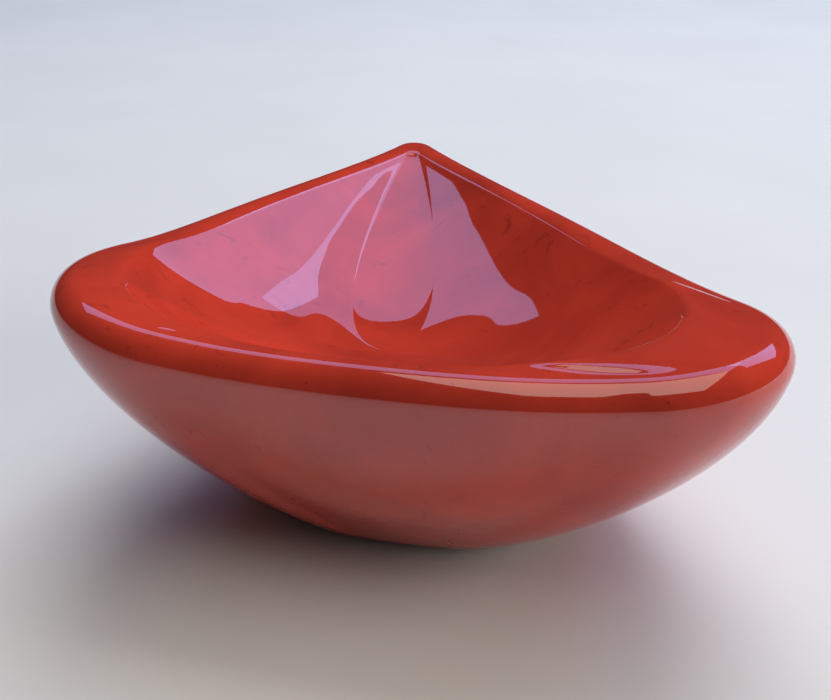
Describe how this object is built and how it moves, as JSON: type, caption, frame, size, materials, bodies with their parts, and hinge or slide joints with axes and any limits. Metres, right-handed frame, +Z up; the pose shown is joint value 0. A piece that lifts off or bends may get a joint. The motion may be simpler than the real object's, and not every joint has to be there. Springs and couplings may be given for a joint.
{
  "type": "bowl",
  "caption": "Three-cornered glazed earthenware bowl with a fat rolled rim, raised rounded corners and sloping inner walls, standing on a small bare foot ring.",
  "frame": {"origin": "on the surface that the bowl rests on, under the middle of the bowl's outline seen from above", "axes": "+Z up, +Y along the longest side towards the sharpest corner, -X towards the bluntest corner"},
  "size_m": [0.2233, 0.2878, 0.1067],
  "materials": {
    "clay_body": "bare fired earthenware, matt and slightly grainy",
    "red_slip": "fine red sigillata coat, smooth, mottled from orange-red to deep red",
    "clear_glaze": "clear gloss glaze with a mirror shine"
  },
  "bodies": {
    "root": {"clay_body": "clay_body", "red_slip": "red_slip", "clear_glaze": "clear_glaze"}
  },
  "joints": []
}
